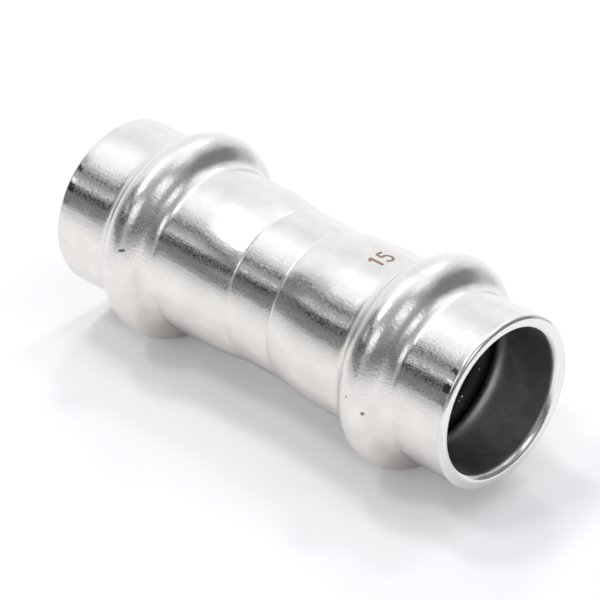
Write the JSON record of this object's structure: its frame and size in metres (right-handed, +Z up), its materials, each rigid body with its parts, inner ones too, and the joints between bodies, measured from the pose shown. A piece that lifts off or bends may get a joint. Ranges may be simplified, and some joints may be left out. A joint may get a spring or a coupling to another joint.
{
  "type": "press-fit pipe coupling",
  "caption": "Straight stainless press coupling: two tapered-lip sockets with rounded seal beads either side of a narrow pipe-stop waist.",
  "frame": {"origin": "middle of the bore's axis, midway between the two mouths", "axes": "+X along the bore towards the right-hand mouth, +Z up, +Y away from the viewer"},
  "size_m": [0.054, 0.0228, 0.0228],
  "materials": {
    "stainless_steel": "pickled and polished stainless steel, bright satin with a fine grain",
    "seal_rubber": "smooth black rubber, slightly greased"
  },
  "bodies": {
    "root": {"coupling_body": "stainless_steel", "seal_ring_left": "seal_rubber", "seal_ring_right": "seal_rubber"}
  },
  "joints": []
}
